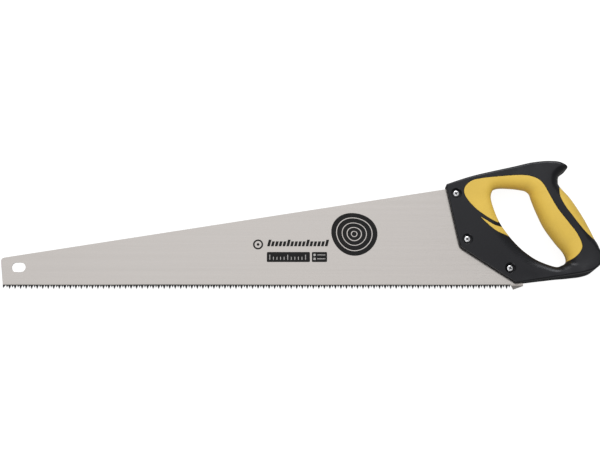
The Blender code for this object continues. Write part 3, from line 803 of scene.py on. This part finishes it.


def shell_from_grid(name, points, down, wall=GRIP_WALL):
    """A closed shell: the grid lowered by down, and a second layer a wall below the surface."""
    height, width = points.shape[:2]
    bpy.ops.mesh.primitive_grid_add(x_subdivisions=width - 1, y_subdivisions=height - 1)
    piece = bpy.context.object
    piece.name = name
    pick(piece)
    solidify = piece.modifiers.new("wall", "SOLIDIFY")
    solidify.thickness = 0.01
    bpy.ops.object.modifier_apply(modifier=solidify.name)
    square = squares(points, closed=False)
    layers = points - square * down[..., None], points - square * wall
    put(piece, np.concatenate([layer.reshape(-1, 3) for layer in layers]))
    face_outwards(piece)
    return piece


def grip(name, seam, ends, edge, count, steps):
    """A grip from its seam on the front, round the edge, to its seam on the rear."""
    start, finish = near_ends(ends, edge, SHOULDER)
    middle = evenly_spaced(start[-1], finish[0], count)[1:-1]
    stations = np.concatenate([start, middle, finish])
    rim = through(edge, stations)
    line = through(seam, stations, closed=False)
    columns = [spread(line, rim, (0.0,), into)[0] for into, _ in SHOULDER[:-1]]
    columns += spread(line, rim, closer_at_end(steps), SHOULDER[-1][0])
    rows = np.stack(columns, axis=1)
    readings = measured(rows)
    shoulder = np.array([depth for _, depth in SHOULDER])
    end_down, face_down = np.zeros(len(stations)), np.zeros((1, rows.shape[1]))
    end_down[:len(shoulder)] = shoulder
    end_down[-len(shoulder):] = shoulder[::-1]
    face_down[:, :len(shoulder)] = shoulder
    down = np.maximum(end_down[:, None], both_sides(face_down, 0.0))
    piece = shell_from_grid(name, faces_and_wall(rows, readings[..., 0]), down)
    # Painted shade: this mask darkens the grip towards the hole's edge, except near the grip's front end.
    held = np.clip((stations - SHADE_START) / SHADE_RISE, 0, 1)[:, None]
    held = held * np.exp(-readings[..., 2] / SHADE_WIDTH)
    note(piece, "painted_hole_shade", np.tile(both_sides(held).ravel(), 2))
    print(name, "has", len(piece.data.polygons), "faces,", folded(rows), "folded")
    return piece


front_grip = grip("front_soft_grip", FRONT_SEAM, FRONT_ENDS, HOLE, 300, 26)
palm_grip = grip("palm_soft_grip", PALM_SEAM, PALM_ENDS, OUTER, 110, 20)

# %% [markdown]
# The small inlay under the lobe is a leaf that widens from a point to the hole's edge and goes round
# it. Its seat is cut from the core with the leaf's own shape, a little larger.

# %% The leaf and its seat
LEAF_ALONG, LEAF_ACROSS = 44, 12
SEAT_GAP = 0.14
LEAF_CUTTER_RISE = 1.0


def nearest_station(edge, point):
    """The station where an edge passes closest to a point."""
    fine = np.linspace(0, STATIONS_ROUND, 9600)
    return fine[np.linalg.norm(through(edge, fine) - point, axis=1).argmin()]


def leaf_rows(grow):
    """Plan points of the leaf, a row for each line from its tip to the hole."""
    at = np.linspace(0, 3, LEAF_ALONG)
    upper, lower = through(INLAY_UPPER, at, closed=False), through(INLAY_LOWER, at, closed=False)
    width = upper - lower
    width /= np.linalg.norm(width, axis=1)[:, None]
    upper, lower = upper + width * grow, lower - width * grow
    tipward = (upper[0] + lower[0] - upper[4] - lower[4]) / 2
    shift = tipward / np.linalg.norm(tipward) * grow
    upper[0] += shift
    lower[0] += shift
    shares = closer_at_both(LEAF_ACROSS)
    rows = np.stack([upper * (1 - share) + lower * share for share in shares])
    first, last = (nearest_station(HOLE, edge[-1]) for edge in (upper, lower))
    on_rim = through(HOLE, first + (last - first) * shares)
    pull = np.linspace(0, 1, LEAF_ALONG)[None, :, None] ** 4
    return rows + (on_rim - rows[:, -1])[:, None, :] * pull


def leaf_shell(name, grow, up, wall, shoulder):
    """The leaf as a closed shell round the hole's edge."""
    rows = leaf_rows(grow)
    points = faces_and_wall(rows, measured(rows)[..., 0])
    edge_in = np.linalg.norm(np.diff(rows, axis=0), axis=2).cumsum(axis=0)
    edge_in = np.vstack([np.zeros((1, rows.shape[1])), edge_in])
    to_edge = np.minimum(edge_in, edge_in[-1] - edge_in)
    down = np.interp(to_edge, [0.0, 0.15, 0.5], [shoulder, 0.4 * shoulder, 0.0])
    return shell_from_grid(name, points, both_sides(down) - up, wall)


lower_inlay = leaf_shell("lower_soft_inlay", 0.0, 0.0, GRIP_WALL, 0.4)
cut_away(core, leaf_shell("leaf_cutter", SEAT_GAP, LEAF_CUTTER_RISE, SEAT_DEPTH, 0.0))
print("the core has", len(core.data.polygons), "faces with the leaf's seat")

# %% [markdown]
# ## Slot, counterbores and screws
#
# The tang slides into a slot between the cheeks. Each screw's head lies in a counterbore, whose
# chamfered mouth follows the cheek's own height.

# %% Slot for the tang
TANG = [(487.0, 110.4), (494.0, 103.0), (503.0, 62.0), (513.0, 45.0), (548.0, 22.0), (552.0, 14.0)]
HEEL_END = (550.2, 4.3)
SLOT_CLEARANCE = 0.3
SLOT_HALF = 0.75
SLOT_FRONT, SLOT_BELOW = 462.0, -8.0
BACK_SLOPE = 0.1592


def set_off(line, distance):
    """An open line of points moved to its left, with its corners kept sharp."""
    line = np.array(line, float)
    step = np.diff(line, axis=0)
    left = np.column_stack([-step[:, 1], step[:, 0]]) / np.linalg.norm(step, axis=1)[:, None]
    before, after = np.vstack([left[:1], left]), np.vstack([left, left[-1:]])
    mitre = (before + after) / (1 + (before * after).sum(axis=1))[:, None]
    return [tuple(point) for point in line + mitre * distance]


back_at_front = TANG[0][1] - (TANG[0][0] - SLOT_FRONT) * BACK_SLOPE
behind_tang = [(SLOT_FRONT, back_at_front)] + TANG + [HEEL_END, (HEEL_END[0], SLOT_BELOW)]
slot_outline = set_off(behind_tang, SLOT_CLEARANCE) + [(SLOT_FRONT, SLOT_BELOW)]
cut_away(core, slab("slot_cutter", slot_outline, -SLOT_HALF, SLOT_HALF))
print("the slot has", len(slot_outline), "corners")

# %% Counterbores and screw holes
SCREWS = {"top": (481.5, 101.8), "middle": (491.9, 51.7), "bottom": (536.1, 20.2)}
BORE_RADIUS = 5.25
BORE_FLOOR = 4.0
BORE_CHAMFER = 0.5
SCREW_HOLE_RADIUS, HOLE_REACH = 2.8, 9.0
PAST_FACE = 3.0

flare = BORE_RADIUS + BORE_CHAMFER + PAST_FACE
hole = [(0.0, -HOLE_REACH), (SCREW_HOLE_RADIUS, -HOLE_REACH)]
hole += [(radius, HOLE_REACH) for radius, _ in hole[::-1]]
for centre in SCREWS.values():
    top = float(measured(np.array([[centre]]))[0, 0, 0])
    for sign in (1.0, -1.0):
        mouth = [
            (0.0, sign * BORE_FLOOR), (BORE_RADIUS, sign * BORE_FLOOR),
            (BORE_RADIUS, sign * (top - BORE_CHAMFER)), (flare, sign * (top + PAST_FACE)),
            (0.0, sign * (top + PAST_FACE)),
        ]
        cut_away(core, turned("bore_cutter", centre, mouth, 64))
    cut_away(core, turned("hole_cutter", centre, hole, 48))
smooth(core, 38.0)
for piece in (front_grip, palm_grip, lower_inlay):
    smooth(piece, 45.0)
print("the finished core has", len(core.data.polygons), "faces")

# %% [markdown]
# A screw is a turned piece with a domed pan head. Its recess is cut by a cross that narrows
# downwards, as the driver's point does.

# %% Screws
HEAD_RADIUS = 3.5
HEAD_BASE, HEAD_SIDE, HEAD_TOP = 4.3, 5.1, 6.1
CROWN_IN, CROWN_UP = 1.3, HEAD_TOP - 0.1 - HEAD_SIDE
SHANK_RADIUS = 1.7
CROSS_ARM, CROSS_BAR, CROSS_DEEP = 2.3, 0.62, 1.5
SCREW_TURN = {"top": 0.45, "middle": 0.8, "bottom": 1.15}

screw_profile = [(0.0, -2.6), (1.3, -2.6), (SHANK_RADIUS, -2.2), (SHANK_RADIUS, HEAD_BASE)]
screw_profile += [(HEAD_RADIUS - 0.1, HEAD_BASE), (HEAD_RADIUS, HEAD_BASE + 0.1), (HEAD_RADIUS, HEAD_SIDE)]
for a in np.linspace(0.15, 1.0, 7) * math.pi / 2:
    crown = (HEAD_RADIUS - CROWN_IN * (1 - math.cos(a)), HEAD_SIDE + CROWN_UP * math.sin(a))
    screw_profile.append(crown)
screw_profile += [(1.2, HEAD_TOP - 0.02), (0.0, HEAD_TOP)]


def cross_cutter(centre, turn):
    """A tapering cross over a screw's head."""
    arm, bar = CROSS_ARM, CROSS_BAR
    quarter = [(arm, -bar), (arm, bar), (bar * 1.3, bar * 1.3)]
    outline = []
    for _ in range(4):
        outline += quarter
        quarter = [(-y, x) for x, y in quarter]
    cosine, sine = math.cos(turn), math.sin(turn)
    outline = [(x * cosine - y * sine, x * sine + y * cosine) for x, y in outline]
    floor = HEAD_TOP - CROSS_DEEP
    cutter = slab("cross", [(centre[0] + x, centre[1] + y) for x, y in outline], floor, HEAD_TOP + 1)
    spots = drawn_points(cutter)
    low = spots[:, 2] < HEAD_TOP
    spots[low, :2] = centre + (spots[low, :2] - centre) * 0.5
    put(cutter, spots)
    return cutter


screws = {}
for spot, centre in SCREWS.items():
    screw = turned("pan_screw_" + spot, centre, screw_profile, 56)
    cut_away(screw, cross_cutter(np.array(centre), SCREW_TURN[spot]))
    smooth(screw, 32.0)
    screws["screw_" + spot] = screw
print(len(screws), "screws of", len(screw.data.polygons), "faces")

# %% [markdown]
# On the rear each screw is met by a sleeve nut: a thin flange in the counterbore, with a straight
# slot across it, and a sleeve that reaches through both cheeks and the tang.

# %% Sleeve nuts
FLANGE_RADIUS = 4.6
FLANGE_TOP = -5.9
SLEEVE_RADIUS, SLEEVE_BORE, SLEEVE_END = 2.5, 2.0, 3.1
DRIVER_SLOT_HALF, DRIVER_SLOT_DEEP = 0.55, 0.9

for spot, centre in SCREWS.items():
    profile = [
        (0.0, FLANGE_TOP), (FLANGE_RADIUS - 1.2, FLANGE_TOP), (FLANGE_RADIUS - 0.5, FLANGE_TOP + 0.12),
        (FLANGE_RADIUS - 0.12, FLANGE_TOP + 0.45), (FLANGE_RADIUS, FLANGE_TOP + 0.9),
        (FLANGE_RADIUS, -4.4), (FLANGE_RADIUS - 0.1, -4.3), (SLEEVE_RADIUS, -4.3),
        (SLEEVE_RADIUS, SLEEVE_END - 0.2), (SLEEVE_RADIUS - 0.2, SLEEVE_END),
        (SLEEVE_BORE, SLEEVE_END), (SLEEVE_BORE, -3.0), (0.0, -3.0),
    ]
    nut = turned("slotted_nut_" + spot, centre, profile, 56)
    turn = SCREW_TURN[spot] + 0.3
    way = np.array((math.cos(turn), math.sin(turn)))
    beside = np.array((-way[1], way[0])) * DRIVER_SLOT_HALF
    reach = way * (FLANGE_RADIUS + 1)
    ends = (centre + reach, centre - reach)
    bar = [ends[0] + beside, ends[1] + beside, ends[1] - beside, ends[0] - beside]
    cut_away(nut, slab("driver_slot", bar, FLANGE_TOP - 1, FLANGE_TOP + DRIVER_SLOT_DEEP))
    smooth(nut, 32.0)
    screws["sleeve_nut_" + spot] = nut
print(len(screws), "fasteners")

# %% [markdown]
# ## Finishes
#
# Every finish is a Principled shader fed by procedural patterns. Two effects are shared, moulded
# grain and grinding lines. Each is a node group, placed in a material with its own values.


# %% Small tools for wiring nodes
def feed(socket, value):
    """Links a value into a socket, or sets it as the socket's constant."""
    if isinstance(value, bpy.types.NodeSocket):
        socket.id_data.links.new(value, socket)
    else:
        socket.default_value = (*value, 1.0) if socket.type == "RGBA" else value


def add_node(tree, kind, inputs, **settings):
    """The outputs of a new node that has its settings, its constants and its links."""
    node = tree.nodes.new(kind)
    for name, value in settings.items():
        setattr(node, name, value)
    for label, value in inputs.items():
        feed(node.inputs[label], value)
    return node.outputs


def stretched(value, low, high, to_low=0.0, to_high=1.0):
    """A value read from one range and put out in another, clamped."""
    ranges = {"From Min": low, "From Max": high, "To Min": to_low, "To Max": to_high}
    return add_node(value.id_data, "ShaderNodeMapRange", {"Value": value, **ranges}, clamp=True)["Result"]


def blended(share, first, second):
    """A colour between two colours."""
    return add_node(share.id_data, "ShaderNodeMix", {0: share, 6: first, 7: second}, data_type="RGBA")[2]


def worked_out(operation, first, second):
    """A sum on two values, one of them a socket at least."""
    tree = next(v.id_data for v in (first, second) if isinstance(v, bpy.types.NodeSocket))
    return add_node(tree, "ShaderNodeMath", {0: first, 1: second}, operation=operation)[0]


plus, minus, times = (functools.partial(worked_out, kind) for kind in ("ADD", "SUBTRACT", "MULTIPLY"))


def noise(place, scale, detail, roughness):
    """Noise at a place, from 0 to 1."""
    values = {"Vector": place, "Scale": scale, "Detail": detail, "Roughness": roughness}
    return add_node(place.id_data, "ShaderNodeTexNoise", values)["Fac"]


def new_group(name, outputs, **inputs):
    """An empty node group with its named sockets, and what is given to it."""
    group = bpy.data.node_groups.new(name, "ShaderNodeTree")
    for label, default in inputs.items():
        kind = "NodeSocketVector" if isinstance(default, tuple) else "NodeSocketFloat"
        group.interface.new_socket(label, in_out="INPUT", socket_type=kind).default_value = default
    for label in outputs:
        group.interface.new_socket(label, in_out="OUTPUT", socket_type="NodeSocketFloat")
    print("group:", group.name)
    return group, group.nodes.new("NodeGroupInput").outputs


# %% Shared effect: moulded grain
grain_group, given = new_group(
    "moulded_grain", ("Height", "Pits", "Tone"), Place=(0.0, 0.0, 0.0), Fineness=2200.0, Patches=18.0
)
cell_size = {"Vector": given["Place"], "Scale": given["Fineness"]}
cells = add_node(grain_group, "ShaderNodeTexVoronoi", cell_size, feature="SMOOTH_F1")
pits = stretched(cells["Distance"], 0.1, 0.7)
add_node(grain_group, "NodeGroupOutput", {
    "Height": plus(noise(given["Place"], given["Fineness"], 3.0, 0.6), times(pits, 0.7)),
    "Pits": pits,
    "Tone": noise(given["Place"], given["Patches"], 4.0, 0.55),
})

# %% Shared effect: grinding lines
lines_group, given = new_group(
    "grinding_lines", ("Height", "Streaks", "Tone"), Place=(0.0, 0.0, 0.0), Along=14.0, Across=1800.0
)
stretch_by = add_node(lines_group, "ShaderNodeCombineXYZ", {
    "X": given["Along"], "Y": given["Across"], "Z": given["Across"],
})[0]
drawn_out = add_node(
    lines_group, "ShaderNodeVectorMath", {0: given["Place"], 1: stretch_by}, operation="MULTIPLY"
)[0]
wide_lines = add_node(
    lines_group, "ShaderNodeVectorMath", {0: drawn_out, "Scale": 0.12}, operation="SCALE"
)[0]
add_node(lines_group, "NodeGroupOutput", {
    "Height": noise(drawn_out, 1.0, 4.0, 0.65),
    "Streaks": noise(wide_lines, 1.0, 3.0, 0.6),
    "Tone": noise(given["Place"], 9.0, 3.0, 0.5),
})


# %% Start and end of every material
def new_finish(name):
    """A material, and the object's own coordinates in it."""
    material = bpy.data.materials.new(name)
    material.use_nodes = True
    return material, material.node_tree.nodes.new("ShaderNodeTexCoord").outputs["Object"]


def effect(group, spot, **values):
    """One of the shared effects in a material, with its own values."""
    return add_node(spot.id_data, "ShaderNodeGroup", {"Place": spot, **values}, node_tree=group)


def noted(spot, name):
    """The number kept for each vertex under a name."""
    return add_node(spot.id_data, "ShaderNodeAttribute", {}, attribute_name=name)["Fac"]


def bumped(height, distance, strength=1.0):
    """Relief, its height in metres."""
    values = {"Height": height, "Distance": distance, "Strength": strength}
    return add_node(height.id_data, "ShaderNodeBump", values)["Normal"]


def dress(material, values):
    """Gives a material's shader its values."""
    for label, value in values.items():
        feed(material.node_tree.nodes["Principled BSDF"].inputs[label], value)
    print("finish:", material.name)


# %% [markdown]
# The blade is satin-ground steel under a thin lacquer, pale and a little warm. The teeth are
# hardened by a fast heat, which leaves them almost black, with a trace of straw where it stopped.

# %% Ground steel with hardened teeth
HEEL_EDGE = DRAWING_ORIGIN[0] + 537.2 * MM

steel, spot = new_finish("ground_steel")
lines = effect(lines_group, spot)
axes = add_node(spot.id_data, "ShaderNodeSeparateXYZ", {"Vector": spot})
sheet = blended(stretched(lines["Streaks"], 0.35, 0.65), (0.486, 0.460, 0.440), (0.500, 0.473, 0.453))
sheet = blended(stretched(lines["Tone"], 0.3, 0.7, 0.0, 0.25), sheet, (0.482, 0.450, 0.428))
wander = times(minus(lines["Tone"], 0.5), 0.9 * MM)
above = plus(minus(axes["Y"], DRAWING_ORIGIN[1]), wander)
heel = stretched(axes["X"], HEEL_EDGE - 0.6 * MM, HEEL_EDGE)
heat = times(stretched(above, 3.75 * MM, 3.35 * MM), minus(1.0, heel))
sheet = blended(stretched(above, 4.8 * MM, 3.6 * MM, 0.0, 0.3), sheet, (0.36, 0.32, 0.28))
heel_foot = times(heel, stretched(above, 3.0 * MM, 2.0 * MM, 0.0, 0.8))
sheet = blended(heel_foot, sheet, (0.10, 0.095, 0.09))
dress(steel, {
    "Base Color": blended(heat, sheet, (0.008, 0.008, 0.009)),
    "Roughness": plus(stretched(lines["Height"], 0.3, 0.7, 0.19, 0.27), times(heat, 0.1)),
    "Metallic": stretched(heat, 0.0, 1.0, 1.0, 0.3),
    "Coat Weight": 0.08,
    "Coat Roughness": 0.3,
    "Normal": bumped(lines["Height"], 0.000002),
})

# %% [markdown]
# Black printing ink is flat and slightly dusty, and a little of the steel shows where it is thin.

# %% Printing inks
ink, spot = new_finish("black_ink")
grain = effect(grain_group, spot, Fineness=5200.0, Patches=60.0)
thin = stretched(grain["Tone"], 0.60, 0.80, 0.0, 0.35)
dress(ink, {
    "Base Color": blended(thin, (0.006, 0.0055, 0.006), (0.03, 0.029, 0.028)),
    "Roughness": stretched(grain["Tone"], 0.3, 0.7, 0.5, 0.66),
    "Specular IOR Level": 0.22,
    "Normal": bumped(grain["Height"], 0.000004),
})

pale_ink, spot = new_finish("pale_ink")
grain = effect(grain_group, spot, Fineness=5200.0, Patches=60.0)
dress(pale_ink, {
    "Base Color": blended(grain["Tone"], (0.36, 0.35, 0.34), (0.48, 0.47, 0.455)),
    "Roughness": stretched(grain["Tone"], 0.3, 0.7, 0.4, 0.55),
    "Normal": bumped(grain["Height"], 0.000003),
})

# %% [markdown]
# The core is black plastic with a fine moulded grain. Its rims are rubbed smoother and paler, and
# its side walls are duller. The rim and wall attributes say where these are.

# %% Black plastic
black, spot = new_finish("black_plastic")
grain = effect(grain_group, spot, Fineness=1900.0, Patches=22.0)
rubbed = times(noted(spot, "rim"), stretched(grain["Tone"], 0.35, 0.7))
body = blended(grain["Tone"], (0.0035, 0.0036, 0.0048), (0.0070, 0.0071, 0.0092))
body = blended(times(grain["Pits"], 0.25), body, (0.0022, 0.0022, 0.0027))
satin = minus(stretched(grain["Tone"], 0.3, 0.75, 0.28, 0.38), times(rubbed, 0.08))
dress(black, {
    "Base Color": blended(times(rubbed, 0.35), body, (0.03, 0.031, 0.034)),
    "Roughness": plus(satin, times(noted(spot, "wall"), 0.5)),
    "Specular IOR Level": 0.33,
    "Specular Tint": (0.94, 0.95, 1.0),
    "Normal": bumped(grain["Height"], 0.00003, 0.7),
})

# %% [markdown]
# The grips are soft, matt and a warm golden yellow, unevenly tinted. They are painted deeper in colour
# towards the hole as painted shade.

# %% Yellow soft grip
yellow, spot = new_finish("yellow_rubber")
grain = effect(grain_group, spot, Fineness=2600.0, Patches=26.0)
skin = blended(stretched(grain["Tone"], 0.3, 0.7), (0.76, 0.51, 0.070), (0.86, 0.59, 0.095))
skin = blended(times(grain["Pits"], 0.25), skin, (0.68, 0.44, 0.05))
# Painted shade: deeper orange towards the hole, where the rounded edge turns from the light, varied by the
# grain's tone.
hole_shade_tint = times(noted(spot, "painted_hole_shade"), stretched(grain["Tone"], 0.25, 0.75, 0.45, 0.75))
dress(yellow, {
    "Base Color": blended(hole_shade_tint, skin, (0.72, 0.42, 0.035)),
    "Roughness": stretched(grain["Tone"], 0.3, 0.7, 0.55, 0.68),
    "Sheen Weight": 0.12,
    "Sheen Roughness": 0.5,
    "Normal": bumped(grain["Height"], 0.000025, 0.6),
})

# %% [markdown]
# The fasteners are zinc plated, with small scratches. The plate is painted almost black in the recess
# and round the foot of the head, as painted shade.

# %% Zinc plate
zinc, spot = new_finish("zinc_plate")
grain = effect(grain_group, spot, Fineness=3000.0, Patches=240.0)
lines = effect(lines_group, spot, Along=500.0, Across=5200.0)
axes = add_node(spot.id_data, "ShaderNodeSeparateXYZ", {"Vector": spot})
lift = minus(axes["Z"], float(DRAWING_ORIGIN[2]))
from_middle = add_node(spot.id_data, "ShaderNodeMath", {0: lift}, operation="ABSOLUTE")[0]
plate = blended(stretched(grain["Tone"], 0.3, 0.7), (0.60, 0.61, 0.63), (0.74, 0.74, 0.75))
# Painted shade: the head's side and all below it, down in the counterbore, are painted almost black.
recess_shade = stretched(from_middle, 5.75 * MM, 5.1 * MM, 0.0, 0.92)
dress(zinc, {
    "Base Color": blended(recess_shade, plate, (0.03, 0.03, 0.032)),
    "Metallic": 1.0,
    "Roughness": stretched(lines["Height"], 0.3, 0.7, 0.16, 0.32),
    "Normal": bumped(lines["Height"], 0.00001, 0.5),
})

# %% [markdown]
# ## Put the saw together
#
# Each piece gets its finish and rides on the saw's one body, and the imported node it stands for is
# hidden.

# %% Assemble


def assemble(piece, finish, node=None):
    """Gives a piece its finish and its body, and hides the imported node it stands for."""
    piece.data.materials.clear()
    piece.data.materials.append(finish)
    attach(piece, "root")
    if node:
        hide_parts(node)


assemble(blade, steel, "blade")
assemble(blade_print, ink)
assemble(pale_ticks, pale_ink)
assemble(core, black, "handle_core")
assemble(front_grip, yellow, "front_grip")
assemble(palm_grip, yellow, "palm_grip")
assemble(lower_inlay, yellow, "lower_inlay")
for node, piece in screws.items():
    assemble(piece, zinc, node)

# %% [markdown]
# ## Studio
#
# The saw lies on a plain white table under very soft light. The table glows, but it throws little
# light back on the saw, so the walls of the handle stay dark.

# %% Floor, world and lights
bpy.ops.mesh.primitive_plane_add(size=12.0, location=(0, 0, cad_low.z - 0.0002))
floor = bpy.context.object
floor.name = "floor"
table_top, spot = new_finish("white_table")
seen = add_node(spot.id_data, "ShaderNodeLightPath", {})["Is Camera Ray"]
dress(table_top, {
    "Base Color": (0.25, 0.25, 0.25),
    "Roughness": 0.9,
    "Specular IOR Level": 0.0,
    "Emission Color": (1.0, 1.0, 1.0),
    "Emission Strength": stretched(seen, 0.0, 1.0, 0.12, 0.92),
})
floor.data.materials.append(table_top)

world = bpy.data.worlds.new("soft_room")
world.use_nodes = True
feed(world.node_tree.nodes["Background"].inputs["Color"], (1.0, 1.0, 1.0))
feed(world.node_tree.nodes["Background"].inputs["Strength"], 0.36)
bpy.context.scene.world = world
bpy.context.scene.view_settings.view_transform = "Standard"


def softbox(name, location, size, power):
    """A square area light that faces the middle of the saw."""
    light = bpy.data.lights.new(name, "AREA")
    light.size = size
    light.energy = power
    lamp = bpy.data.objects.new(name, light)
    lamp.location = location
    aim = (cad_low + cad_high) / 2 - Vector(location)
    lamp.rotation_euler = aim.to_track_quat("-Z", "Y").to_euler()
    bpy.context.collection.objects.link(lamp)


softbox("overhead", (-0.35, 0.5, 2.4), 2.3, 13.5)
softbox("key", (0.25, 1.7, 1.5), 1.2, 25.0)
softbox("fill", (-0.9, -1.5, 1.0), 1.2, 11.0)
